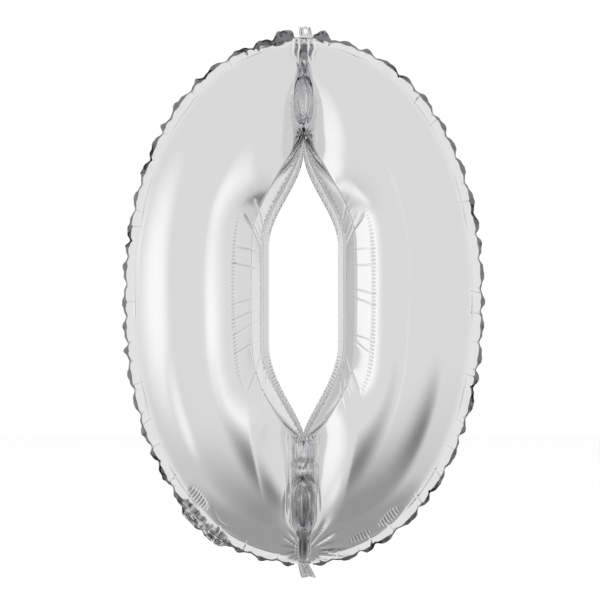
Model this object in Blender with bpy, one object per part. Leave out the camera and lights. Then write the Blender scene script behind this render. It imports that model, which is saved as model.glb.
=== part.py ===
"""Foil number balloon, the figure 0, about 0.78 m tall, hung upright by its top tab.

Two metallised film shells meet at a welded rim round the outside and another round the hole.
+X is the width, +Z is up, and the front faces -Y. The origin is on the front face of the
top hanging tab, just under its eyelet. Lengths are in metres.
"""

import math

import bmesh
import bpy
from mathutils import Vector

# Outer weld line: a superellipse, measured where the film leaves the weld.
HALF_WIDTH = 0.253
HALF_HEIGHT = 0.372
OUTLINE_EXPONENT = 2.15

# Hole: an upright hexagon, pulled straight by the inflated tubes. Heights are from the middle.
HOLE_HALF_WIDTH = 0.049
HOLE_TOP_CORNER = 0.087
HOLE_TOP = 0.228
HOLE_BOTTOM_CORNER = -0.077
HOLE_BOTTOM = -0.180

# Welded rims.
INNER_RIM = 0.008
OUTER_RIM_LOW = 0.0045
OUTER_RIM_HIGH = 0.0080
SCALLOPS_EACH_SIDE = 27
WELD_UNDERLAP = 0.0014
WELD_HALF_THICKNESS = 0.00045

# Film shells. The real film is about 0.04 mm thick; the solids are thicker, to be solid at all.
FILM_THICKNESS = 0.0008
FILM_EDGE_Y = 0.00075
TUBE_END_DEPTH = 0.82
PINCH_STRENGTH = 0.62
PINCH_HALF_WIDTH = 0.020

# Top hanging tab.
TAB_HALF_WIDTH = 0.012
TAB_LENGTH = 0.0148
TAB_NOTCH = 0.0015
TAB_HINGE = 0.0024
TAB_FOOT = 0.0027
TAB_EYELET_HEIGHT = 0.0110
TAB_EYELET_RADIUS = 0.0035
TAB_MOUNT_HEIGHT = 0.0048

# Filling tail, under the bottom of the outer weld.
NECK_HALF_WIDTH = 0.014
TAIL_HALF_WIDTH = 0.013
TAIL_FOOT = 0.0015
TAIL_LENGTH = 0.0185
TAIL_HINGE = 0.0010
TAIL_FILM_INNER_Y = 0.00015
TAIL_FILM_OUTER_Y = 0.00075
FILL_HOLE_DROP = 0.0105
FILL_HOLE_RADIUS = 0.0040

# Self-sealing valve: two soft films inside the neck.
VALVE_HALF_WIDTH = 0.011
VALVE_TIP_HALF_WIDTH = 0.008
VALVE_LENGTH = 0.080
VALVE_START = 0.0008
VALVE_INNER_Y = 0.00015
VALVE_OUTER_Y = 0.00040

# How finely the shapes are divided.
SECTIONS_EACH_SIDE = 46
SECTION_CROWDING = 0.62
ARC_STEPS = 9
SAMPLES_PER_SCALLOP = 4
OUTLINE_STEPS = 400
HOLE_SPAN_STEPS = 4
CORNER_RADIUS = 0.003
CORNER_STEPS = 4
CIRCLE_SIDES = 24

MIDDLE_Z = -TAB_MOUNT_HEIGHT - HALF_HEIGHT
TOP_Z = MIDDLE_Z + HALF_HEIGHT
BOTTOM_Z = MIDDLE_Z - HALF_HEIGHT


def clear_scene():
    for thing in list(bpy.data.objects):
        bpy.data.objects.remove(thing)


def make_material(name, colour, roughness, metallic):
    material = bpy.data.materials.new(name)
    material.use_nodes = True
    shader = material.node_tree.nodes["Principled BSDF"]
    shader.inputs["Base Color"].default_value = (*colour, 1.0)
    shader.inputs["Roughness"].default_value = roughness
    shader.inputs["Metallic"].default_value = metallic
    return material


def make_object(name, points, faces, material):
    mesh = bpy.data.meshes.new(name)
    mesh.from_pydata([tuple(point) for point in points], [], faces)
    turned = bmesh.new()
    turned.from_mesh(mesh)
    bmesh.ops.recalc_face_normals(turned, faces=turned.faces)
    turned.to_mesh(mesh)
    turned.free()
    mesh.materials.append(material)
    thing = bpy.data.objects.new(name, mesh)
    bpy.context.scene.collection.objects.link(thing)
    return thing


def sweep(name, sections, material, ring):
    """One closed solid through equal loops of points: joined end to end, or capped at both ends.

    The second half of a loop is split the other way, so that the two faces of a film shell,
    which run out and back, have matching triangles and never meet.
    """
    size = len(sections[0])
    count = len(sections)
    faces = []
    for row in range(count if ring else count - 1):
        after = (row + 1) % count
        for step in range(size):
            beside = (step + 1) % size
            near, near_beside = row * size + step, row * size + beside
            far, far_beside = after * size + step, after * size + beside
            if step < size // 2:
                faces += [(near, near_beside, far_beside), (near, far_beside, far)]
            else:
                faces += [(near, near_beside, far), (near_beside, far_beside, far)]
    if not ring:
        faces.append(tuple(reversed(range(size))))
        faces.append(tuple(range((count - 1) * size, count * size)))
    points = [point for section in sections for point in section]
    thing = make_object(name, points, faces, material)
    thing.data.shade_smooth()
    thing.data.set_sharp_from_angle(angle=math.radians(50))
    return thing


def outline_trace():
    """The right half of the outer weld line, from the top down, as (x, height) points."""
    power = 2.0 / OUTLINE_EXPONENT
    trace = []
    for step in range(OUTLINE_STEPS + 1):
        angle = math.pi * step / OUTLINE_STEPS
        height = abs(math.cos(angle)) ** power * HALF_HEIGHT
        x = abs(math.sin(angle)) ** power * HALF_WIDTH
        trace.append(Vector((x, math.copysign(height, math.cos(angle)))))
    return trace


def hole_trace(outward):
    """The right half of the hole's edge, moved out by a distance, from the top down."""
    corner_top = Vector((HOLE_HALF_WIDTH, HOLE_TOP_CORNER))
    corner_bottom = Vector((HOLE_HALF_WIDTH, HOLE_BOTTOM_CORNER))
    upper_slope = (Vector((0.0, HOLE_TOP)) - corner_top).normalized()
    lower_slope = (Vector((0.0, HOLE_BOTTOM)) - corner_bottom).normalized()
    upper_normal = Vector((upper_slope.y, -upper_slope.x))
    lower_normal = Vector((-lower_slope.y, lower_slope.x))
    side = HOLE_HALF_WIDTH + outward
    upper = corner_top + upper_normal * outward
    lower = corner_bottom + lower_normal * outward
    top = upper.y + upper.x * upper_slope.y / -upper_slope.x
    bottom = lower.y + lower.x * lower_slope.y / -lower_slope.x
    top_corner = upper.y + (upper.x - side) * upper_slope.y / -upper_slope.x
    bottom_corner = lower.y + (lower.x - side) * lower_slope.y / -lower_slope.x
    return [
        Vector((0.0, top)),
        Vector((side, top_corner)),
        Vector((side, bottom_corner)),
        Vector((0.0, bottom)),
    ]


def trace_length(trace):
    return sum((b - a).length for a, b in zip(trace, trace[1:]))


def along(trace, distance):
    """The point at a distance along a trace, and the trace's direction there."""
    left = distance
    for start, end in zip(trace, trace[1:]):
        span = (end - start).length
        if left <= span or end is trace[-1]:
            return start.lerp(end, left / span), (end - start).normalized()
        left -= span
    return trace[-1], (trace[-1] - trace[-2]).normalized()


def both_sides(half):
    """A whole ring of (x, height, ...) rows, from a right half that runs from top to bottom."""
    mirrored = [tuple(Vector((-point.x, point.y)) for point in row) for row in half[1:-1]]
    return half + mirrored[::-1]


def place(point, depth):
    return Vector((point.x, depth, MIDDLE_Z + point.y))


def section_pairs():
    """Matching points on the outer weld line and the inner one, crowded near the two pinches."""
    outer, inner = outline_trace(), hole_trace(INNER_RIM)
    outer_length, inner_length = trace_length(outer), trace_length(inner)
    pairs = []
    for step in range(SECTIONS_EACH_SIDE + 1):
        even = step / SECTIONS_EACH_SIDE
        share = even - SECTION_CROWDING * math.sin(2 * math.pi * even) / (2 * math.pi)
        outer_point = along(outer, share * outer_length)[0]
        pairs.append((outer_point, along(inner, share * inner_length)[0]))
    return both_sides(pairs)


def tube_section(outer, inner, side):
    """One slice of a film shell: out along its outer face and back along its inner face."""
    across = inner - outer
    half = across.length / 2
    along_slice = across.normalized()
    centre = (outer + inner) / 2
    slope = abs(centre.y) / HALF_HEIGHT
    roundness = 1 - (1 - TUBE_END_DEPTH) * slope
    pinch = 1 - PINCH_STRENGTH * math.exp(-((centre.x / PINCH_HALF_WIDTH) ** 2))
    faces = []
    for shrink in (0.0, FILM_THICKNESS):
        arc = []
        for step in range(ARC_STEPS + 1):
            angle = math.pi * step / ARC_STEPS
            flat = centre - along_slice * (half - shrink) * math.cos(angle)
            depth = FILM_EDGE_Y + math.sin(angle) * (half * roundness * pinch - shrink)
            arc.append(place(flat, side * depth))
        faces.append(arc)
    return faces[0] + faces[1][::-1]


def film_shell(name, side, material):
    sections = [tube_section(outer, inner, side) for outer, inner in section_pairs()]
    return sweep(name, sections, material, ring=True)


def flat_section(first, second):
    """A thin slice of a weld, between two points in its plane."""
    return [
        place(first, -WELD_HALF_THICKNESS),
        place(second, -WELD_HALF_THICKNESS),
        place(second, WELD_HALF_THICKNESS),
        place(first, WELD_HALF_THICKNESS),
    ]


def rim_width(distance, total, x):
    """The outer rim's width: scalloped, and cut back to a notch where the top tab stands."""
    if abs(x) < TAB_HALF_WIDTH + 0.0012 and distance < total / 2:
        return TAB_NOTCH
    wave = abs(math.sin(math.pi * SCALLOPS_EACH_SIDE * distance / total))
    return OUTER_RIM_LOW + (OUTER_RIM_HIGH - OUTER_RIM_LOW) * wave


def outer_seal(material):
    """The welded rim round the outside, open at the bottom where the filling neck passes."""
    trace = outline_trace()
    total = trace_length(trace)
    steps = SCALLOPS_EACH_SIDE * SAMPLES_PER_SCALLOP
    first = TAB_HALF_WIDTH + 0.0010
    stops = [0.0, first, first + 0.0006]
    stops += [total * step / steps for step in range(1, steps + 1)]
    last = total - NECK_HALF_WIDTH
    stops = sorted(stop for stop in stops if stop <= first + 0.0006 or first + 0.002 < stop < last)
    stops.append(last)
    half = []
    for distance in stops:
        point, heading = along(trace, distance)
        outward = Vector((-heading.y, heading.x))
        if outward.dot(point) < 0:
            outward.negate()
        if distance == 0.0:
            outward = Vector((0.0, 1.0))
        width = rim_width(distance, total, point.x)
        half.append((point - outward * WELD_UNDERLAP, point + outward * width))
    left = [tuple(Vector((-point.x, point.y)) for point in row) for row in half[1:]]
    sections = [flat_section(*row) for row in left[::-1] + half]
    return sweep("outer_seal", sections, material, ring=False)


def inner_seal(material):
    """The welded rim round the hole, drawn taut into six straight runs."""
    root, tip = hole_trace(INNER_RIM + WELD_UNDERLAP), hole_trace(0.0)
    half = []
    for index in range(len(root) - 1):
        for step in range(HOLE_SPAN_STEPS):
            share = step / HOLE_SPAN_STEPS
            outer_point = root[index].lerp(root[index + 1], share)
            half.append((outer_point, tip[index].lerp(tip[index + 1], share)))
    half.append((root[-1], tip[-1]))
    sections = [flat_section(*row) for row in both_sides(half)]
    return sweep("inner_seal", sections, material, ring=True)


def rounded_strip(half_widths, low, high, radius):
    """The outline of an upright strip, low to high, with rounded top and bottom corners."""
    low_half, high_half = half_widths
    corners = [
        (Vector((low_half - radius, low + radius)), -90),
        (Vector((high_half - radius, high - radius)), 0),
        (Vector((radius - high_half, high - radius)), 90),
        (Vector((radius - low_half, low + radius)), 180),
    ]
    outline = []
    for centre, start in corners:
        for step in range(CORNER_STEPS + 1):
            angle = math.radians(start + 90 * step / CORNER_STEPS)
            outline.append(centre + radius * Vector((math.cos(angle), math.sin(angle))))
    return outline


def strip(name, outline, front, back, hinge_height, material):
    """A flat piece of film between two depths, with its origin on its hinge line."""
    height = Vector((0.0, 0.0, hinge_height))
    sections = [
        [Vector((point.x, depth, point.y)) - height for point in outline] for depth in (back, front)
    ]
    thing = sweep(name, sections, material, ring=False)
    thing.location = height
    return thing


def cut_round_hole(thing, height, radius):
    """Punches a round hole through a strip, front to back, at a world height."""
    reach = 0.01
    sections = []
    for depth in (reach, -reach):
        ring = []
        for step in range(CIRCLE_SIDES):
            angle = 2 * math.pi * step / CIRCLE_SIDES
            ring.append(Vector((radius * math.cos(angle), depth, height + radius * math.sin(angle))))
        sections.append(ring)
    cutter = sweep(thing.name + "_punch", sections, thing.data.materials[0], ring=False)
    cutter.hide_render = True
    cutter.display_type = "WIRE"
    punch = thing.modifiers.new("punch", "BOOLEAN")
    punch.operation = "DIFFERENCE"
    punch.solver = "EXACT"
    punch.object = cutter


def top_hanging_tab(material):
    low = TOP_Z + TAB_FOOT
    widths = (TAB_HALF_WIDTH, TAB_HALF_WIDTH)
    outline = rounded_strip(widths, low, low + TAB_LENGTH, CORNER_RADIUS)
    half = WELD_HALF_THICKNESS
    tab = strip("top_hanging_tab", outline, -half, half, TOP_Z + TAB_HINGE, material)
    cut_round_hole(tab, TOP_Z + TAB_EYELET_HEIGHT, TAB_EYELET_RADIUS)


def filling_tail(material):
    """Two films, welded down their sides in the real tail, open between them for the straw."""
    high = BOTTOM_Z - TAIL_FOOT
    widths = (TAIL_HALF_WIDTH, TAIL_HALF_WIDTH)
    outline = rounded_strip(widths, high - TAIL_LENGTH, high, CORNER_RADIUS)
    hinge = BOTTOM_Z - TAIL_HINGE
    inner, outer = TAIL_FILM_INNER_Y, TAIL_FILM_OUTER_Y
    front = strip("tail_front_film", outline, -outer, -inner, hinge, material)
    strip("tail_back_film", outline, inner, outer, hinge, material)
    cut_round_hole(front, BOTTOM_Z - FILL_HOLE_DROP, FILL_HOLE_RADIUS)


def self_sealing_valve(material):
    low = BOTTOM_Z + VALVE_START
    widths = (VALVE_HALF_WIDTH, VALVE_TIP_HALF_WIDTH)
    outline = rounded_strip(widths, low, low + VALVE_LENGTH, CORNER_RADIUS)
    inner, outer = VALVE_INNER_Y, VALVE_OUTER_Y
    strip("valve_front_film", outline, -outer, -inner, low, material)
    strip("valve_back_film", outline, inner, outer, low, material)


def build():
    clear_scene()
    silver = make_material("silver_film", (0.86, 0.87, 0.88), 0.12, 1.0)
    welded = make_material("welded_film", (0.72, 0.73, 0.75), 0.2, 1.0)
    clear_film = make_material("valve_film", (0.83, 0.86, 0.88), 0.3, 0.0)
    film_shell("front_film", -1, silver)
    film_shell("back_film", 1, silver)
    outer_seal(welded)
    inner_seal(welded)
    top_hanging_tab(welded)
    filling_tail(silver)
    self_sealing_valve(clear_film)


build()
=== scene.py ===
"""The looks of a silver foil number balloon, the figure 0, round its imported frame. Metres, +Z up."""

import math

import bpy
import numpy as np
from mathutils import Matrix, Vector


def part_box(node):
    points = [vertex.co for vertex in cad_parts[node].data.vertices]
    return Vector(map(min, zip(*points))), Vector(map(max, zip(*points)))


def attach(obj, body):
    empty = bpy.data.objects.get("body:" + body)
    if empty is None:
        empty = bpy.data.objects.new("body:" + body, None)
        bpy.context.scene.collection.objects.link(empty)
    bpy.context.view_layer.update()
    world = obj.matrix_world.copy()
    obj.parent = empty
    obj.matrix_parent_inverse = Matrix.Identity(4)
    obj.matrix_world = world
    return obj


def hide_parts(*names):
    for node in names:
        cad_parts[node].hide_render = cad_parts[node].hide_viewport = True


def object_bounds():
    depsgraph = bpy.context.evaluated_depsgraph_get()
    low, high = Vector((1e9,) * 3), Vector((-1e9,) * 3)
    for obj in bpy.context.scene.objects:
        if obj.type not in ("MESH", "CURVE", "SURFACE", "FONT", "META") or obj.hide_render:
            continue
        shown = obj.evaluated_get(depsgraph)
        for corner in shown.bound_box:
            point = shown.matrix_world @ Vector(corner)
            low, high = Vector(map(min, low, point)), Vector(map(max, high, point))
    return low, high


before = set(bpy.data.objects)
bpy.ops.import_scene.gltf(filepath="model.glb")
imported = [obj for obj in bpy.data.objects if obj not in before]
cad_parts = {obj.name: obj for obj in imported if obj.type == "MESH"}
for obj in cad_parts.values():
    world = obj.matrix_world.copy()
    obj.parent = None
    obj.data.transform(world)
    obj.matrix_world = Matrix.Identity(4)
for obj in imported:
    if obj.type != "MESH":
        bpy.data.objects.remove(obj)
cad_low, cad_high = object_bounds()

# Places that come from the frame.
film_low, film_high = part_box("front_film")
HALF_WIDTH = (film_high[0] - film_low[0]) / 2
HALF_HEIGHT = (film_high[2] - film_low[2]) / 2
MIDDLE_Z = (film_high[2] + film_low[2]) / 2
EYELET_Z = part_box("top_hanging_tab")[1][2] - 0.0065

# Outline and hole, as in the frame: heights are from the middle.
OUTLINE_EXPONENT = 2.15
HOLE_HALF_WIDTH = 0.049
HOLE_STRAIGHT = (0.079, -0.060)
HOLE_TIPS = (0.212, -0.188)
ROOT_TIPS = (0.240, -0.2015)
INNER_RIM = 0.008

# Grid of each film.
HALF_COUNT = 800
ACROSS = 112
CROWDING = 0.35
ARC_CROWDING = 0.45
SCALLOPS = 27
FILM_THICKNESS = 0.0003
FILM_EDGE_Y = 0.0002

# Welded rim, outside the weld line. It narrows beside the tab and the tail.
RIM_WIDTH = 0.0066
RIM_COLUMNS = 9
NECK_HALF_WIDTH = 0.0125

# Tab and tail.
STRIP_THICKNESS = 0.00025
EYELET_RADIUS = 0.0035
FILLING_HOLE_Z = -0.7593
FILLING_HOLE_RADIUS = 0.004

# The tubes' depth at their ends, and how far the pinches and the shoulders beside them pull in.
TUBE_END_DEPTH = 0.82
PINCH_DEPTH = 0.50
SHOULDER_DEPTH = 0.28
VALLEY_HALF_WIDTH = 0.0110
VALLEY_NECK = 0.0045

# Shares of a slice's arc, from the outer weld to the inner one, that the film spans flat. Each has how
# far its two ends stand out from the round slice, as a share of its radius, and how flat it is.
RIM_BAND = (0.0, 0.185, 0.0, 0.012, 0.96)
INNER_BAND = (0.70, 0.815, 0.0, 0.066, 0.92)
EDGE_BAND = (0.815, 0.985, 0.066, 0.0, 0.92)


def smooth(edge0, edge1, value):
    """0 before edge0, 1 after edge1, and a smooth step between."""
    share = np.clip((value - edge0) / (edge1 - edge0), 0, 1)
    return share * share * (3 - 2 * share)


def bell(value, width):
    return np.exp(-((value / width) ** 2))


def resample(trace, shares):
    """Points at these shares of a trace's length, and that length."""
    steps = np.linalg.norm(np.diff(trace, axis=0), axis=1)
    at = np.concatenate([[0], np.cumsum(steps)])
    points = [np.interp(shares * at[-1], at, trace[:, axis]) for axis in (0, 1)]
    return np.stack(points, axis=1), at[-1]


def outline_trace():
    angle = np.linspace(0, np.pi, 2000)
    power = 2 / OUTLINE_EXPONENT
    x = HALF_WIDTH * np.abs(np.sin(angle)) ** power
    height = HALF_HEIGHT * np.sign(np.cos(angle)) * np.abs(np.cos(angle)) ** power
    return np.stack([x, height], axis=1)


def hole_trace(outward, tips):
    """The right half of a line round the hole: straight sides that curve in to a point at each end."""
    height = np.linspace(tips[0], tips[1], 4000)
    upper = smooth(tips[0], HOLE_STRAIGHT[0], height)
    rising = np.clip((height - tips[1]) / (HOLE_STRAIGHT[1] - tips[1]), 0, 1)
    lower = np.sin(np.pi / 2 * rising) ** 1.3
    return np.stack([(HOLE_HALF_WIDTH + outward) * upper * lower, height], axis=1)


def whole_ring(half):
    """Rows for the whole ring, clockwise from the top, from rows for its right half."""
    left = half[1:-1][::-1].copy()
    left[:, 0] *= -1
    return np.vstack([half, left])


def ring_mean(values, reach):
    """A running mean round the ring."""
    weights = np.hanning(2 * reach + 3)[1:-1]
    weights /= weights.sum()
    flat = values.reshape(len(values), -1)
    padded = np.concatenate([flat[-reach:], flat, flat[:reach]])
    columns = [np.convolve(padded[:, k], weights, "valid") for k in range(flat.shape[1])]
    return np.stack(columns, axis=1).reshape(values.shape)


even = np.linspace(0, 1, HALF_COUNT + 1)
half_share = even - CROWDING * np.sin(2 * np.pi * even) / (2 * np.pi)
AROUND = 2 * HALF_COUNT
on_left = np.arange(AROUND) > HALF_COUNT
share = np.concatenate([half_share, half_share[1:-1][::-1]])
outer_half, outer_length = resample(outline_trace(), half_share)
root_half, root_length = resample(hole_trace(INNER_RIM, ROOT_TIPS), half_share)
edge_half, _ = resample(hole_trace(0.0, HOLE_TIPS), half_share)
OUTER = whole_ring(outer_half)
ROOT = ring_mean(whole_ring(root_half), 4)
SOFT_ROOT = ring_mean(ROOT, 60)
HOLE_EDGE = ring_mean(whole_ring(edge_half), 3)
along_outer = share * outer_length
along_root = share * root_length
spread = np.linspace(0, 1, ACROSS + 1)
ARC = spread - ARC_CROWDING * np.sin(2 * np.pi * spread) / (2 * np.pi)


def outward_normals(ring):
    """Unit normals in the balloon's plane, pointing away from the hole."""
    heading = np.roll(ring, -1, axis=0) - np.roll(ring, 1, axis=0)
    normal = np.stack([-heading[:, 1], heading[:, 0]], axis=1)
    return normal / np.linalg.norm(normal, axis=1)[:, None]


OUTWARD = outward_normals(OUTER)

# Scallops of the welded rim. Between two of them the weld puckers and turns out of the plane.
rng = np.random.default_rng(7)
PITCH = outer_length / SCALLOPS
PUCKER_WIDTH = 0.0055
RIM_PULL = 0.0024


def make_puckers():
    puckers = []
    for left in (False, True):
        for index in range(1, SCALLOPS):
            puckers.append({
                "left": left,
                "at": (index + rng.uniform(-0.22, 0.22)) * PITCH,
                "strength": rng.uniform(0.35, 1.0),
                "reach": rng.uniform(0.05, 0.14),
                "slant": rng.uniform(-0.10, 0.10),
                "turn": 1.0 if rng.random() < 0.8 else -1.0,
            })
    return puckers


PUCKERS = make_puckers()


def scallop_shape():
    """For each point of the weld: how far its scallop stands out, which way it turns, and its size."""
    stand, turn, size = np.ones(AROUND), np.ones(AROUND), np.ones(AROUND)
    for left in (False, True):
        here = np.where(on_left == left)[0]
        mine = [pucker for pucker in PUCKERS if pucker["left"] == left]
        places = np.array([0.0] + [pucker["at"] for pucker in mine] + [outer_length])
        turns = np.array([1.0] + [pucker["turn"] for pucker in mine] + [1.0])
        peaks = rng.uniform(0.34, 0.66, SCALLOPS)
        sizes = rng.uniform(0.72, 1.0, SCALLOPS)
        at = along_outer[here]
        index = np.clip(np.searchsorted(places, at, side="right") - 1, 0, SCALLOPS - 1)
        part = (at - places[index]) / (places[index + 1] - places[index])
        peak = peaks[index]
        fall = np.abs(part - peak) / np.where(part < peak, peak, 1 - peak)
        stand[here] = 1 - fall ** (1.05 if left else 1.5)
        turn[here] = np.where(part < peak, turns[index], turns[index + 1])
        size[here] = sizes[index]
    return np.clip(stand, 0.04, 1), turn, ring_mean(size, 5)


STAND, TURN, SCALLOP_SIZE = scallop_shape()


def pucker_closeness():
    closeness = np.zeros(AROUND)
    for pucker in PUCKERS:
        near = bell(along_outer - pucker["at"], PUCKER_WIDTH) * (on_left == pucker["left"])
        closeness = np.maximum(closeness, near * (0.55 + 0.45 * pucker["strength"]))
    return closeness


CLOSENESS = pucker_closeness()
RIM = OUTER - OUTWARD * (RIM_PULL * CLOSENESS)[:, None]


def slice_profile():
    """(across, deep) on a unit half circle, round and with the flat bands that taut film spans."""
    angle = np.pi * ARC
    circle = np.stack([-np.cos(angle), np.sin(angle)], axis=1)
    flat = circle.copy()
    for start, end, start_lift, end_lift, strength in (RIM_BAND, INNER_BAND, EDGE_BAND):
        lifted = ((start, start_lift), (end, end_lift))
        ends = np.array([[-math.cos(math.pi * a), math.sin(math.pi * a) + lift] for a, lift in lifted])
        inside = (ARC >= start) & (ARC <= end)
        along = ((ARC - start) / (end - start))[:, None]
        chord = ends[0] * (1 - along) + ends[1] * along
        flat[inside] = (circle * (1 - strength) + chord * strength)[inside]
    return circle, flat


def valley(x, height):
    """1 in the groove between the two tube ends, 0 on the tubes."""
    upper = smooth(0.345, 0.272, height) - 0.35 * smooth(0.262, 0.235, height)
    opened = np.where(height > 0, upper, smooth(-0.338, -0.305, height))
    width = VALLEY_NECK + (VALLEY_HALF_WIDTH - VALLEY_NECK) * opened
    return np.exp(-np.abs(x / width) ** 2.2) * smooth(0.150, 0.215, np.abs(height))


def shoulder(x, height):
    """How far the tubes roll in toward the pinch: 1 on the middle line, 0 from a crease outward."""
    reach = np.abs(height)
    crease = 0.070 - 0.175 * (reach - 0.20)
    crisp = (x < 0) & (height < 0)
    rolled = np.clip(1 - np.abs(x) / crease, 0, 1) ** np.where(crisp, 1.06, 1.4)
    start = np.where(height > 0, 0.150, 0.125)
    return rolled * smooth(start, start + 0.080, reach) * smooth(0.372, 0.330, reach)


def base_film(side, root):
    """The smooth film: a ring of round slices from the outer weld to the inner one."""
    circle, flat = slice_profile()
    across = root - OUTER
    half = np.linalg.norm(across, axis=1) / 2
    centre = (OUTER + root) / 2
    direction = across / (2 * half[:, None])
    crown = (centre[:, 1] / HALF_HEIGHT) ** 2
    round_off = 1 - (1 - TUBE_END_DEPTH) * crown
    taut = smooth(0.006, 0.020, np.abs(centre[:, 0]))[:, None, None]
    profile = circle[None] * (1 - taut) + flat[None] * taut
    plane = centre[:, None, :] + direction[:, None, :] * (half[:, None] * profile[:, :, 0])[..., None]
    x, height = plane[..., 0], plane[..., 1]
    pointed = smooth(0.100, 0.160, root[:, 1]) + smooth(0.080, 0.140, -root[:, 1])
    fuller = 1 - 0.42 * pointed[:, None] * smooth(0.45, 0.75, ARC)[None, :]
    section = np.clip(profile[:, :, 1], 0, 1) ** fuller
    gathered = (1 - PINCH_DEPTH * valley(x, height)) * (1 - SHOULDER_DEPTH * shoulder(x, height))
    deep = (half * round_off)[:, None] * section * gathered
    return np.stack([x, side * (FILM_EDGE_Y + deep), height], axis=2)


def grid_normals(points, side):
    around = np.roll(points, -1, axis=0) - np.roll(points, 1, axis=0)
    across = np.gradient(points, axis=1)
    normal = np.cross(around, across)
    normal /= np.maximum(np.linalg.norm(normal, axis=2), 1e-12)[..., None]
    return normal * np.sign(np.sum(normal[..., 1] * side))


def rim_puckers(seed):
    """Short creases that run in from the rim's puckers, and the film's swelling between them."""
    local = np.random.default_rng(seed)
    field = np.zeros((AROUND, len(ARC)))
    for pucker in PUCKERS:
        same = (on_left == pucker["left"])[:, None]
        reach = pucker["reach"] * local.uniform(0.7, 1.3)
        line = pucker["at"] + pucker["slant"] * outer_length * 0.3 * ARC[None, :]
        width = 0.0014 + 0.008 * np.exp(-ARC / 0.02)[None, :]
        fade = np.exp(-((ARC / reach) ** 2.5))[None, :]
        field -= 0.0020 * pucker["strength"] * bell(along_outer[:, None] - line, width) * fade * same
    return field + 0.0010 * (1 - CLOSENESS)[:, None] * bell(ARC - 0.035, 0.035)[None, :]


def rim_band_line(seed):
    """Where the flat rim band meets the round tube: a shallow broken line, and creases across the band."""
    local = np.random.default_rng(seed)
    phase = local.uniform(0, 2 * np.pi, 3)
    broken = 0.55 + 0.45 * np.sin(9 * np.pi * share + phase[0]) * np.sin(23 * np.pi * share + phase[1])
    wander = 0.005 * np.sin(14 * np.pi * share + phase[2])
    line = ARC[None, :] - RIM_BAND[1] - wander[:, None]
    streak = (bell(share - 0.415, 0.075) * on_left)[:, None] * bell(line - 0.020, 0.009)
    field = -0.0020 * broken[:, None] * bell(line, 0.006) + 0.0014 * streak
    for left in (False, True):
        same = (on_left == left)[:, None]
        places = np.concatenate([local.uniform(0.05, 0.55, 5), np.linspace(0.62, 0.95, 8)])
        for place in places + local.uniform(-0.012, 0.012, len(places)):
            lean = local.uniform(-0.02, 0.02)
            across = along_outer[:, None] - place * outer_length - lean * ARC[None, :] * outer_length
            ends = smooth(0.005, 0.03, ARC) * (1 - smooth(0.17, 0.21 + local.uniform(0, 0.03), ARC))
            field -= local.uniform(0.0010, 0.0018) * bell(across, 0.0016) * ends[None, :] * same
    return field


def inner_band_creases(seed):
    """Cross creases, a dotted outer edge and the fanned lines at the hole's corners, on the taut band."""
    local = np.random.default_rng(seed)
    field = np.zeros((AROUND, len(ARC)))
    height = ROOT[:, 1]
    window = smooth(0.68, 0.71, ARC) * (1 - smooth(0.82, 0.93, ARC))
    for left in (False, True):
        same = (on_left == left)[:, None]
        for place in [0.068, 0.048, 0.004, -0.052] + list(local.uniform(-0.06, 0.07, 2)):
            slant = local.uniform(-0.04, 0.04)
            line = height[:, None] - place - slant * (ARC[None, :] - 0.75)
            depth = local.uniform(0.0004, 0.0009)
            field -= depth * bell(line, 0.0012) * window[None, :] * same
        for corner, tilt in ((HOLE_STRAIGHT[0], 0.12), (HOLE_STRAIGHT[1] - 0.012, -0.12)):
            for offset in np.concatenate([[0.0], local.uniform(0.004, 0.032, 5) * np.sign(tilt)]):
                line = height[:, None] - corner - offset - tilt * (0.95 - ARC[None, :])
                strength = 0.0010 if offset == 0.0 else local.uniform(0.0003, 0.0006)
                start = 0.70 if offset == 0.0 else local.uniform(0.74, 0.78)
                fan = smooth(start, start + 0.04, ARC) * (1 - smooth(0.90, 0.98, ARC))
                field -= strength * bell(line, 0.0016) * fan[None, :] * same
    straight = (1 - smooth(0.075, 0.115, np.abs(height - 0.005)))[:, None]
    dots = 0.5 + 0.5 * np.sin(2 * np.pi * along_root / 0.0042)[:, None]
    slow = 0.5 + 0.5 * np.sin(2 * np.pi * along_root / 0.09 + local.uniform(0, 6))[:, None]
    edge = bell(ARC - INNER_BAND[0], 0.0045)[None, :]
    ribs = dots * slow * bell(ARC - INNER_BAND[0] - 0.012, 0.022)[None, :]
    return field - straight * (0.0007 * edge + 0.0010 * dots * edge + 0.0003 * ribs)


def ribbed_patches():
    """Sunken patches crossed by short ribs beside the rim near the bottom, and one curved crease."""
    field = np.zeros((AROUND, len(ARC)))
    for left, middle, length, depth in ((True, 0.815, 0.021, 0.0022), (False, 0.855, 0.023, 0.0022),
                                        (False, 0.908, 0.022, 0.0010)):
        along = (along_outer - middle * outer_length)[:, None]
        away = np.hypot(along / length, (ARC[None, :] - 0.232) / 0.036)
        pit = smooth(1.15, 0.55, away) * (on_left == left)[:, None]
        field += pit * (0.0011 * np.sin(2 * np.pi * along / 0.0052) - depth)
    along = (along_outer - 0.868 * outer_length)[:, None]
    smile = bell(ARC[None, :] - 0.215 - 0.018 * (along / 0.016) ** 2, 0.006) * bell(along, 0.020)
    return field - 0.0020 * smile * on_left[:, None]


def weld_crimps(seed):
    """Small ripples beside the inner weld, strongest along the hole's sloping ends."""
    local = np.random.default_rng(seed)
    sloping = smooth(0.085, 0.125, ROOT[:, 1]) + smooth(0.070, 0.110, -ROOT[:, 1])
    ripple = np.zeros(AROUND)
    for period in (0.0047, 0.0071, 0.0113):
        ripple += np.sin(2 * np.pi * along_root / period + local.uniform(0, 6))
    return 0.00016 * (ripple * (0.15 + sloping))[:, None] * smooth(0.90, 0.98, ARC)[None, :]


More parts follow.
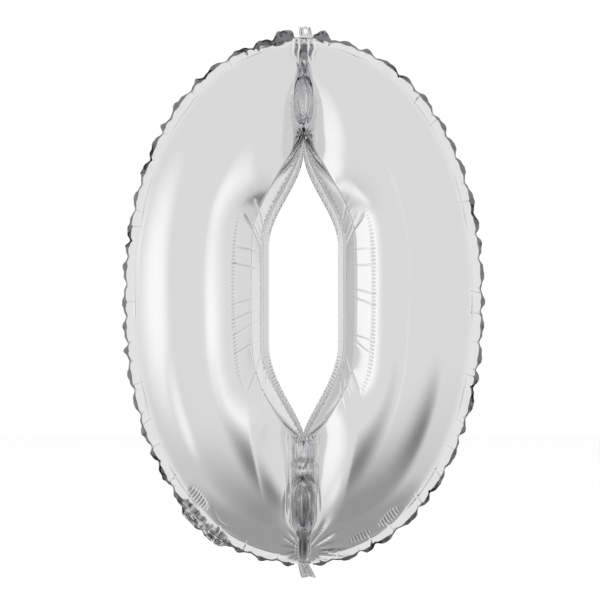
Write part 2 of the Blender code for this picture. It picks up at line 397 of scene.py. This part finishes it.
def slow_waves(seed):
    """Very low swells, so that highlights along the tubes aren't ruler straight."""
    local = np.random.default_rng(seed)
    field = np.zeros((AROUND, len(ARC)))
    angle = 2 * np.pi * np.where(on_left, 1 - share / 2, share / 2)
    for cycles in (3, 5, 8, 13):
        phase = local.uniform(0, 2 * np.pi, 2)
        wave = np.sin(cycles * angle + phase[0])[:, None] * np.sin(np.pi * ARC * 2 + phase[1])[None, :]
        field += 0.0016 / cycles * wave
    return field * np.sin(np.pi * ARC)[None, :]


def lens(x, height, middle, half_length, half_width):
    """1 inside an upright pointed lens and 0 outside it."""
    along = 1 - np.clip(np.abs(height - middle) / half_length, 0, 1) ** 1.4
    return smooth(1.15, 0.70, np.abs(x) / (half_width * along + 1e-5)) * (along > 0.01)


def upper_pinch(x, height):
    """Twisted folds under the tab, a lens-shaped pit with its ridge, and a rosette over the hole."""
    field = -0.011 * lens(x, height, 0.284, 0.036, 0.0096)
    field += 0.006 * bell(x - 0.0026, 0.0022) * bell(height - 0.280, 0.020)
    field -= 0.004 * bell(x + 0.0028, 0.0020) * bell(height - 0.300, 0.020)
    chevrons = np.cos(2 * np.pi * (height - 0.8 * np.abs(x)) / 0.0055)
    field += 0.0012 * chevrons * bell(height - 0.262, 0.008) * bell(x, 0.006)
    twist = np.sin(2 * np.pi * (x / 0.0075 + 0.6 * np.sin((height - 0.335) / 0.008)))
    field += 0.0026 * twist * bell(height - 0.337, 0.017) * bell(x, 0.009)
    slit = x - 0.0032 - 0.0012 * np.sin((height - 0.33) / 0.006)
    field -= 0.0060 * bell(slit, 0.0018) * smooth(0.305, 0.325, height)
    folds = ((-0.0150, 0.0040), (-0.0105, -0.0080), (-0.0060, 0.0050), (0.0005, -0.0040), (0.0062, 0.0060),
             (0.0110, -0.0080), (0.0155, 0.0040))
    for place, rise in folds:
        leaning = x - place * smooth(0.27, 0.365, height) - 0.0010 * np.sin(height / 0.0035 + 40 * place)
        field += rise * bell(leaning, 0.0019) * bell(height - 0.356, 0.015)
    for side in (-1, 1):
        line = x - side * (0.0125 - 0.010 * smooth(0.262, 0.240, height))
        field += 0.0016 * bell(line, 0.0017) * bell(height - 0.275, 0.030)
    reach = np.hypot(x - 0.0012, height - 0.236)
    spokes = np.cos(9 * np.arctan2(height - 0.236, x - 0.0012) + 0.5)
    field += 0.0022 * spokes * bell(reach - 0.0055, 0.0045)
    field -= 0.0030 * bell(reach, 0.0035)
    ear = bell(height - 0.275 - 0.1 * np.abs(x), 0.0013) * bell(np.abs(x) - 0.018, 0.0045)
    return field - 0.0020 * ear


def lower_pinch(x, height):
    """A window between two folds, an arch, a ribbed lens-shaped pit and the fan by the tail."""
    frame_shape = np.sqrt(np.clip(1 - ((height + 0.210) / 0.027) ** 2, 0, 1))
    groove = bell(np.abs(x + 0.0015) - 0.0085 * frame_shape, 0.0012) * (frame_shape > 0)
    field = -0.0040 * groove - 0.0040 * bell(np.hypot(x + 0.003, (height + 0.228) / 2), 0.0030)
    arch = bell(height + 0.2500 + 0.75 * np.abs(x + 0.003), 0.0026)
    field -= 0.0060 * arch * smooth(0.0150, 0.0110, np.abs(x + 0.002))
    field -= 0.0030 * bell(height + 0.2655, 0.0012) * bell(x + 0.015, 0.0040)
    ribs = 0.6 + 0.4 * np.sin(2 * np.pi * height / 0.0046)
    for side in (-1, 1):
        field += 0.0030 * bell(x - side * 0.0085, 0.0018) * bell(height + 0.216, 0.019)
        field += 0.0030 * ribs * bell(x - side * 0.0120, 0.0024) * bell(height + 0.288, 0.024)
        fine_ribs = np.sin(2 * np.pi * height / 0.0040) * bell(x - side * 0.0215, 0.0045)
        field += 0.0007 * fine_ribs * bell(height + 0.283, 0.020)
    field -= 0.0065 * lens(x + 0.001, height, -0.284, 0.040, 0.0084)
    field += 0.006 * bell(x + 0.0022, 0.0019) * bell(height + 0.290, 0.018)
    field -= 0.0035 * bell(x - 0.0015 - 0.001 * np.sin(height / 0.005), 0.0018) * bell(height + 0.300, 0.024)
    field -= 0.004 * bell(np.hypot((x + 0.007) * 1.5, height + 0.329), 0.0045)
    reach = np.hypot(x - 0.003, height + 0.352)
    turn = np.arctan2(height + 0.352, x - 0.003)
    spokes = np.cos(21 * turn + 1.5 * np.sin(3 * turn)) + 0.5 * np.cos(34 * turn)
    field += 0.0022 * spokes * bell(reach - 0.032, 0.020) * smooth(-0.002, 0.012, x)
    field += 0.0016 * spokes * bell(reach - 0.022, 0.015) * smooth(0.002, -0.012, x)
    field += 0.0028 * np.cos(2 * np.pi * (x + 0.001) / 0.0058) * bell(height + 0.348, 0.013) * bell(x, 0.009)
    ear = bell(height + 0.230, 0.0013) * bell(np.abs(x) - 0.0155, 0.0040)
    field -= 0.0022 * ear
    blob = bell(np.hypot(x + 0.001, height + 0.193), 0.0045)
    return field + 0.0034 * blob


def film_points(side, seed):
    toward_root = smooth(0.50, 0.86, ARC)[None, :, None]
    points = base_film(side, SOFT_ROOT) * (1 - toward_root) + base_film(side, ROOT) * toward_root
    normals = grid_normals(points, side)
    pull = (RIM - OUTER)[:, None, :] * bell(ARC, 0.035)[None, :, None]
    grooved = 1 - valley(points[..., 0], points[..., 2])
    push = rim_puckers(seed) + rim_band_line(seed + 1) + inner_band_creases(seed + 2) + ribbed_patches()
    push *= grooved
    push += weld_crimps(seed + 3) + slow_waves(seed + 4) * grooved
    push *= (smooth(0, 0.02, ARC) * smooth(0, 0.02, 1 - ARC))[None, :]
    folds = upper_pinch(points[..., 0], points[..., 2]) + lower_pinch(points[..., 0], points[..., 2])
    folds *= (smooth(0, 0.06, ARC) * smooth(0, 0.05, 1 - ARC))[None, :]
    points = points + normals * push[..., None]
    points[..., 1] += side * folds
    points[..., 0] += pull[..., 0]
    points[..., 2] += pull[..., 1]
    points[..., 1] = side * np.maximum(side * points[..., 1], FILM_EDGE_Y)
    return points


def ring_mesh(name, points):
    """A surface from rows of points: rows run round the balloon, columns across the film."""
    rows, columns = points.shape[:2]
    world = points.copy()
    world[..., 2] += MIDDLE_Z
    row = np.arange(rows)[:, None] * columns
    after = (np.arange(1, rows + 1) % rows)[:, None] * columns
    column = np.arange(columns - 1)[None, :]
    corners = (row + column, row + column + 1, after + column + 1, after + column)
    faces = np.stack([np.broadcast_to(corner, (rows, columns - 1)) for corner in corners], axis=2)
    mesh = bpy.data.meshes.new(name)
    mesh.from_pydata(world.reshape(-1, 3).tolist(), [], faces.reshape(-1, 4).tolist())
    mesh.shade_smooth()
    piece = bpy.data.objects.new(name, mesh)
    bpy.context.scene.collection.objects.link(piece)
    return piece


def thicken(piece, thickness, offset=0.0):
    modifier = piece.modifiers.new("thickness", "SOLIDIFY")
    modifier.thickness = thickness
    modifier.offset = offset


# ---------------------------------------------------------------- materials


def foil(name, colour, crease, rough_low, rough_high, crinkle, scale):
    """Metallised film: mirror bright, shade painted in its creases, a highlight painted on its ridges, hazy
    in patches, finely crinkled.
    """
    material = bpy.data.materials.new(name)
    material.use_nodes = True
    tree = material.node_tree
    shader = tree.nodes["Principled BSDF"]
    shader.inputs["Metallic"].default_value = 1.0
    shape = tree.nodes.new("ShaderNodeNewGeometry")
    # Painted shade and highlight: by pointiness, the base colour turns to crease in creases and lighter than
    # colour on ridges.
    crease_shade_ridge_highlight = tree.nodes.new("ShaderNodeValToRGB")
    crease_shade_ridge_highlight.color_ramp.elements[0].position = 0.42
    crease_shade_ridge_highlight.color_ramp.elements[0].color = (*crease, 1)
    crease_shade_ridge_highlight.color_ramp.elements[1].position = 0.495
    crease_shade_ridge_highlight.color_ramp.elements[1].color = (*colour, 1)
    # Painted highlight: ridges get a base colour lighter than the foil's own.
    ridge = crease_shade_ridge_highlight.color_ramp.elements.new(0.56)
    ridge.color = (*(min(1.0, 1.15 * part) for part in colour), 1)
    tree.links.new(shape.outputs["Pointiness"], crease_shade_ridge_highlight.inputs["Fac"])
    tree.links.new(crease_shade_ridge_highlight.outputs["Color"], shader.inputs["Base Color"])
    place = tree.nodes.new("ShaderNodeTexCoord")
    haze = tree.nodes.new("ShaderNodeTexNoise")
    haze.inputs["Scale"].default_value = 9.0
    haze.inputs["Detail"].default_value = 3.0
    spread = tree.nodes.new("ShaderNodeMapRange")
    spread.inputs["From Min"].default_value = 0.3
    spread.inputs["From Max"].default_value = 0.7
    spread.inputs["To Min"].default_value = rough_low
    spread.inputs["To Max"].default_value = rough_high
    fine = tree.nodes.new("ShaderNodeTexNoise")
    fine.inputs["Scale"].default_value = scale
    fine.inputs["Detail"].default_value = 2.0
    bump = tree.nodes.new("ShaderNodeBump")
    bump.inputs["Strength"].default_value = crinkle
    bump.inputs["Distance"].default_value = 0.0005
    link = tree.links.new
    link(place.outputs["Object"], haze.inputs["Vector"])
    link(haze.outputs["Fac"], spread.inputs["Value"])
    link(spread.outputs["Result"], shader.inputs["Roughness"])
    link(place.outputs["Object"], fine.inputs["Vector"])
    link(fine.outputs["Fac"], bump.inputs["Height"])
    link(bump.outputs["Normal"], shader.inputs["Normal"])
    return material


def clear_film(name):
    material = bpy.data.materials.new(name)
    material.use_nodes = True
    tree = material.node_tree
    shader = tree.nodes["Principled BSDF"]
    shader.inputs["Base Color"].default_value = (0.83, 0.86, 0.88, 1)
    shader.inputs["Transmission Weight"].default_value = 0.6
    place = tree.nodes.new("ShaderNodeTexCoord")
    haze = tree.nodes.new("ShaderNodeTexNoise")
    haze.inputs["Scale"].default_value = 60.0
    spread = tree.nodes.new("ShaderNodeMapRange")
    spread.inputs["To Min"].default_value = 0.2
    spread.inputs["To Max"].default_value = 0.45
    tree.links.new(place.outputs["Object"], haze.inputs["Vector"])
    tree.links.new(haze.outputs["Fac"], spread.inputs["Value"])
    tree.links.new(spread.outputs["Result"], shader.inputs["Roughness"])
    return material


# The third argument of each foil is the colour of the shade painted in its creases.
SILVER = foil("silver_foil", (0.86, 0.862, 0.866), (0.26, 0.26, 0.27), 0.08, 0.15, 0.04, 120.0)
# Painted shade: the outer rim's weld is a darkened copy of the inner rim's, its dark colour standing in for
# the darker surroundings it reflects.
WELDED = foil("welded_foil", (0.24, 0.243, 0.25), (0.04, 0.04, 0.045), 0.10, 0.24, 0.35, 500.0)
INNER_WELDED = foil("inner_welded_foil", (0.80, 0.802, 0.806), (0.25, 0.25, 0.26), 0.14, 0.26, 0.25, 900.0)
TAB_FOIL = foil("tab_foil", (0.90, 0.90, 0.905), (0.2, 0.2, 0.21), 0.12, 0.24, 0.2, 500.0)
VALVE = clear_film("valve_polythene")


# ---------------------------------------------------------------- pieces


def make_film(name, side, seed, replaced):
    piece = ring_mesh(name, film_points(side, seed))
    if side > 0:
        piece.data.flip_normals()
    thicken(piece, FILM_THICKNESS, offset=-1.0)
    piece.data.materials.append(SILVER)
    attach(piece, "balloon")
    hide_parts(replaced)


def outer_rim():
    """The welded rim: each scallop stands out in the middle and turns out of the plane at its ends."""
    local = np.random.default_rng(21)
    bend = np.arccos(STAND) * TURN
    bend += 0.20 * np.sin(2 * np.pi * along_outer / 0.017 + 1.3)
    wide = smooth(0.790, 0.815, share) * (1 - smooth(0.880, 0.900, share)) * on_left
    wing = np.where(on_left, bell(share - 0.026, 0.018), bell(share - 0.028, 0.012))
    loose = np.maximum(wide, wing)
    bend = bend * (1 - 0.75 * loose) + 0.9 * wing * ring_mean(local.normal(size=AROUND), 9)
    width = RIM_WIDTH * np.where(on_left, 1.0, 0.84) * SCALLOP_SIZE * (1 - 0.5 * loose)
    width += 0.0090 * wide + 0.0125 * wing
    width *= 1 + 0.02 * np.sin(2 * np.pi * along_outer / 0.0023)
    neck = smooth(NECK_HALF_WIDTH, NECK_HALF_WIDTH + 0.002, np.abs(RIM[:, 0]))
    neck_width = np.where(RIM[:, 1] > 0, 0.0023, 0.0010)
    width = neck_width + (width - neck_width) * neck
    bend *= neck
    crumple = ring_mean(local.normal(size=(AROUND, RIM_COLUMNS)), 3) * (0.0065 * loose)[:, None]
    rows = []
    for column, step in enumerate(np.linspace(-0.12, 1, RIM_COLUMNS)):
        reach = width * step
        turned = bend * max(step, 0) ** 0.5
        plane = RIM + OUTWARD * (reach * np.cos(turned))[:, None]
        buckle = 0.0009 * math.sin(math.pi * max(step, 0)) * np.sin(2 * np.pi * along_outer / 0.0131)
        lift = (buckle + crumple[:, column] * max(step, 0)) * neck
        rows.append(np.stack([plane[:, 0], reach * np.sin(turned) + lift, plane[:, 1]], axis=1))
    piece = ring_mesh("outer_rim", np.stack(rows, axis=1))
    thicken(piece, FILM_THICKNESS)
    # Painted shade: the outer rim takes the dark copy of the weld, but random patches of its wide loose part
    # take the light one.
    piece.data.materials.append(WELDED)
    piece.data.materials.append(INNER_WELDED)
    patches = ring_mean(local.normal(size=(AROUND, RIM_COLUMNS - 1)), 6)
    bright = (wide[:, None] > 0.5) & (patches > -0.12)
    piece.data.polygons.foreach_set("material_index", bright.astype(int).ravel())
    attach(piece, "balloon")
    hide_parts("outer_seal")


def inner_rim():
    """The welded rim of the hole: taut at the sides, crimped along its curved ends."""
    sloping = smooth(0.085, 0.125, ROOT[:, 1]) + smooth(0.070, 0.110, -ROOT[:, 1])
    crimp = np.sin(2 * np.pi * along_root / 0.0052) + 0.6 * np.sin(2 * np.pi * along_root / 0.0083)
    rows = []
    for step in np.linspace(-0.08, 1, 6):
        plane = ROOT * (1 - step) + HOLE_EDGE * step
        lift = 0.0010 * crimp * sloping * max(step, 0) ** 3
        rows.append(np.stack([plane[:, 0], lift, plane[:, 1]], axis=1))
    piece = ring_mesh("inner_rim", np.stack(rows, axis=1))
    thicken(piece, FILM_THICKNESS)
    piece.data.materials.append(INNER_WELDED)
    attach(piece, "balloon")
    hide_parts("inner_seal")


def crumpled_strip(name, node_name, body, shape, hole=None):
    """A strip as big as its frame node, gathered into folds, with a round hole where it has one."""
    low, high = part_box(node_name)
    rows, columns = 44, 52
    u = np.linspace(-1, 1, columns)[None, :].repeat(rows, axis=0)
    v = np.linspace(0, 1, rows)[:, None].repeat(columns, axis=1)
    x = (low[0] + high[0]) / 2 + u * (high[0] - low[0]) / 2
    z = low[2] + v * (high[2] - low[2])
    keep = np.ones((rows - 1, columns - 1), bool)
    if hole:
        hole_z, radius = hole
        away = np.hypot(x, z - hole_z)
        inside = away < radius * 0.98
        keep &= ~(inside[:-1, :-1] | inside[1:, :-1] | inside[:-1, 1:] | inside[1:, 1:])
        near = (away < radius * 1.22) & (away > radius * 0.9)
        pulled = np.where(near, radius / np.maximum(away, 1e-9), 1)
        x, z = x * pulled, hole_z + (z - hole_z) * pulled
    shift_x, y, shift_z = shape(u, v)
    middle = (low[1] + high[1]) / 2
    points = np.stack([x + shift_x, middle + y, z + shift_z], axis=2).reshape(-1, 3)
    row, column = np.nonzero(keep)
    start = row * columns + column
    faces = np.stack([start, start + 1, start + columns + 1, start + columns], axis=1)
    used = np.unique(faces)
    renumber = np.zeros(rows * columns, int)
    renumber[used] = np.arange(len(used))
    mesh = bpy.data.meshes.new(name)
    mesh.from_pydata(points[used].tolist(), [], renumber[faces].tolist())
    mesh.shade_smooth()
    piece = bpy.data.objects.new(name, mesh)
    bpy.context.scene.collection.objects.link(piece)
    thicken(piece, STRIP_THICKNESS)
    mesh.materials.append(TAB_FOIL)
    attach(piece, body)
    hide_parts(node_name)


def tab_shape(u, v):
    """Gathered at its foot into upright folds that open toward its top edge."""
    gather = 0.72 - 0.10 * v
    folds = np.sin(2 * np.pi * 1.6 * u + 0.8) + 0.45 * np.sin(2 * np.pi * 3.4 * u + 2.1 + 1.2 * v)
    y = 0.0022 * folds * (0.35 + 0.65 * np.abs(u)) * (0.25 + 0.75 * smooth(0.0, 0.4, v))
    shift_x = -0.012 * u * (1 - gather) * 0.8 + 0.0022 * (1 - v) + 0.0016
    return shift_x, y, 0.0006 * np.sin(5 * u + 1) * v


def tail_shape(lean, deep, phase):
    """Loose folds that deepen toward the tail's free end, which leans to one side."""
    def shape(u, v):
        down = 1 - v
        folds = np.sin(2 * np.pi * 1.1 * u + phase + 1.5 * down) + 0.4 * np.sin(2 * np.pi * 2.7 * u + phase)
        y = deep * folds * (0.5 + 0.5 * np.abs(u)) * (0.4 + 0.6 * down)
        shift_x = lean * down - 0.0050 * u * (1 - 0.4 * down)
        return shift_x, y, 0.0010 * np.sin(3.5 * u + phase) * down
    return shape


make_film("front_foil", -1, 100, "front_film")
make_film("back_foil", 1, 200, "back_film")
outer_rim()
inner_rim()
crumpled_strip("hanging_tab", "top_hanging_tab", "top_tab", tab_shape,
               (EYELET_Z, EYELET_RADIUS))
crumpled_strip("tail_front", "tail_front_film", "tail_lip",
               tail_shape(0.006, -0.0012, 0.4), (FILLING_HOLE_Z, FILLING_HOLE_RADIUS))
crumpled_strip("tail_back", "tail_back_film", "tail", tail_shape(0.008, 0.0010, 1.9))
for name in ("valve_front_film", "valve_back_film"):
    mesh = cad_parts[name].data
    mesh.materials.clear()
    mesh.materials.append(VALVE)


# ---------------------------------------------------------------- stage, light, camera

CAMERA_DISTANCE = 3.4
CAMERA_X = -0.00497
CAMERA_ABOVE_MIDDLE = 0.00142
VIEW_WIDTH = 0.852
FLOOR_BELOW = 0.32
FLOOR_REACH = 9.0


def make_floor():
    mesh = bpy.data.meshes.new("floor")
    height = cad_low[2] - FLOOR_BELOW
    sides = ((-1, -1), (1, -1), (1, 1), (-1, 1))
    corners = [(FLOOR_REACH * x, FLOOR_REACH * y, height) for x, y in sides]
    mesh.from_pydata(corners, [], [(0, 1, 2, 3)])
    floor = bpy.data.objects.new("floor", mesh)
    bpy.context.scene.collection.objects.link(floor)
    paint = bpy.data.materials.new("pale_floor")
    paint.use_nodes = True
    shader = paint.node_tree.nodes["Principled BSDF"]
    shader.inputs["Base Color"].default_value = (0.98, 0.98, 0.98, 1)
    shader.inputs["Roughness"].default_value = 0.9
    shader.inputs["Specular IOR Level"].default_value = 0.1
    mesh.materials.append(paint)
    floor.visible_glossy = False


def make_world():
    """White to all but reflections. Those see grey, darker toward the floor in front of the foil."""
    world = bpy.data.worlds.new("studio")
    bpy.context.scene.world = world
    world.use_nodes = True
    world.cycles.sampling_method = "NONE"
    tree = world.node_tree
    tree.nodes.clear()
    link = tree.links.new
    place = tree.nodes.new("ShaderNodeTexCoord")
    split = tree.nodes.new("ShaderNodeSeparateXYZ")
    link(place.outputs["Generated"], split.inputs[0])

    def math_node(kind, first, second):
        made = tree.nodes.new("ShaderNodeMath")
        made.operation = kind
        for socket, value in zip(made.inputs, (first, second)):
            if isinstance(value, (int, float)):
                socket.default_value = value
            else:
                link(value, socket)
        return made.outputs[0]

    def ramp(value, low, high, out_low, out_high):
        made = tree.nodes.new("ShaderNodeMapRange")
        made.interpolation_type = "SMOOTHSTEP"
        sockets = ("From Min", "From Max", "To Min", "To Max")
        for socket, number in zip(sockets, (low, high, out_low, out_high)):
            made.inputs[socket].default_value = number
        link(value, made.inputs["Value"])
        return made.outputs["Result"]

    y, z = split.outputs["Y"], split.outputs["Z"]
    level = ramp(z, -0.75, -0.05, 0.62, 0.79)
    front = math_node("MULTIPLY", level, ramp(y, 0.10, 0.45, 1.0, 0.0))
    mirrored = math_node("ADD", front, ramp(y, 0.10, 0.45, 0.0, 0.84))
    path = tree.nodes.new("ShaderNodeLightPath")
    seen = tree.nodes.new("ShaderNodeMix")
    seen.data_type = "FLOAT"
    link(path.outputs["Is Glossy Ray"], seen.inputs["Factor"])
    seen.inputs["A"].default_value = 1.0
    link(mirrored, seen.inputs["B"])
    sky = tree.nodes.new("ShaderNodeBackground")
    sky.inputs["Color"].default_value = (1, 1, 1, 1)
    link(seen.outputs["Result"], sky.inputs["Strength"])
    out = tree.nodes.new("ShaderNodeOutputWorld")
    link(sky.outputs[0], out.inputs[0])


def make_lamp(name, place, aim, size, power):
    """A soft lamp that the foil doesn't mirror."""
    lamp = bpy.data.lights.new(name, "AREA")
    lamp.shape = "RECTANGLE"
    lamp.size, lamp.size_y = size
    lamp.energy = power
    holder = bpy.data.objects.new(name, lamp)
    holder.location = place
    holder.rotation_euler = (Vector(aim) - Vector(place)).to_track_quat("-Z", "Y").to_euler()
    holder.visible_glossy = False
    bpy.context.scene.collection.objects.link(holder)


def make_camera():
    optics = bpy.data.cameras.new("camera")
    optics.lens = optics.sensor_width * CAMERA_DISTANCE / VIEW_WIDTH
    optics.clip_end = 100
    camera = bpy.data.objects.new("camera", optics)
    camera.location = (CAMERA_X, -CAMERA_DISTANCE, MIDDLE_Z + CAMERA_ABOVE_MIDDLE)
    camera.rotation_euler = (math.pi / 2, 0, 0)
    bpy.context.scene.collection.objects.link(camera)
    bpy.context.scene.camera = camera


def make_card(name, place, facing, scale, glow, core):
    """An oval card, grey or bright, that only reflections see. It fades out from core, a share of its
    half size, to its edge. scale is that half size, and glow its brightness."""
    bpy.ops.mesh.primitive_circle_add(vertices=64, radius=1.0, fill_type="NGON")
    card = bpy.context.object
    card.name = name
    card.location = place
    card.rotation_euler = Vector(facing).to_track_quat("Z", "Y").to_euler()
    card.scale = (*scale, 1.0)
    for setting in ("visible_camera", "visible_diffuse", "visible_transmission", "visible_shadow"):
        setattr(card, setting, False)
    paint = bpy.data.materials.new(name)
    paint.use_nodes = True
    tree = paint.node_tree
    tree.nodes.clear()
    where = tree.nodes.new("ShaderNodeTexCoord")
    reach = tree.nodes.new("ShaderNodeVectorMath")
    reach.operation = "LENGTH"
    tree.links.new(where.outputs["Object"], reach.inputs[0])
    fade = tree.nodes.new("ShaderNodeMapRange")
    fade.interpolation_type = "SMOOTHSTEP"
    for socket, number in (("From Min", core), ("From Max", 1.0), ("To Min", 0.0), ("To Max", 1.0)):
        fade.inputs[socket].default_value = number
    tree.links.new(reach.outputs["Value"], fade.inputs["Value"])
    shine = tree.nodes.new("ShaderNodeEmission")
    shine.inputs["Strength"].default_value = glow
    clear = tree.nodes.new("ShaderNodeBsdfTransparent")
    mix = tree.nodes.new("ShaderNodeMixShader")
    tree.links.new(fade.outputs["Result"], mix.inputs["Fac"])
    tree.links.new(shine.outputs[0], mix.inputs[1])
    tree.links.new(clear.outputs[0], mix.inputs[2])
    out = tree.nodes.new("ShaderNodeOutputMaterial")
    tree.links.new(mix.outputs[0], out.inputs[0])
    card.data.materials.append(paint)


make_floor()
make_card("low_card", (0.10, -0.33, -0.93), (0, -1, 0), (0.62, 0.45), 0.33, 0.25)
make_card("left_low_card", (0.01, -0.34, -0.63), (0, -1, 0), (0.10, 0.20), 0.22, 0.1)
make_card("right_low_card", (0.40, -0.34, -0.72), (0, -1, 0), (0.25, 0.26), 0.20, 0.1)
make_card("under_card", (0.05, -0.05, -1.02), (0, 0, 1), (0.75, 0.45), 0.36, 0.5)
make_card("back_card", (0.0, 0.25, -0.27), (0, -1, 0), (0.16, 0.12), 0.25, 0.25)
make_card("back_side_card", (-0.16, 0.32, MIDDLE_Z), (0, -1, 0), (0.12, 0.28), 0.58, 0.3)
make_card("window_card", (-0.70, -0.31, -0.33), (1, 0, 0), (0.46, 0.55), 1.08, 0.1)
make_card("low_window_card", (-0.70, -0.62, -0.76), (1, 0, 0), (0.26, 0.28), 1.0, 0.1)
make_card("side_card", (0.09, -0.50, MIDDLE_Z), (-1, 0.144, 0), (0.30, 0.27), 1.08, 0.1)
make_world()
make_lamp("overhead", (0.8, -0.9, 1.8), (0, 0, MIDDLE_Z), (1.6, 1.6), 70)
make_camera()
bpy.context.scene.view_settings.view_transform = "Standard"
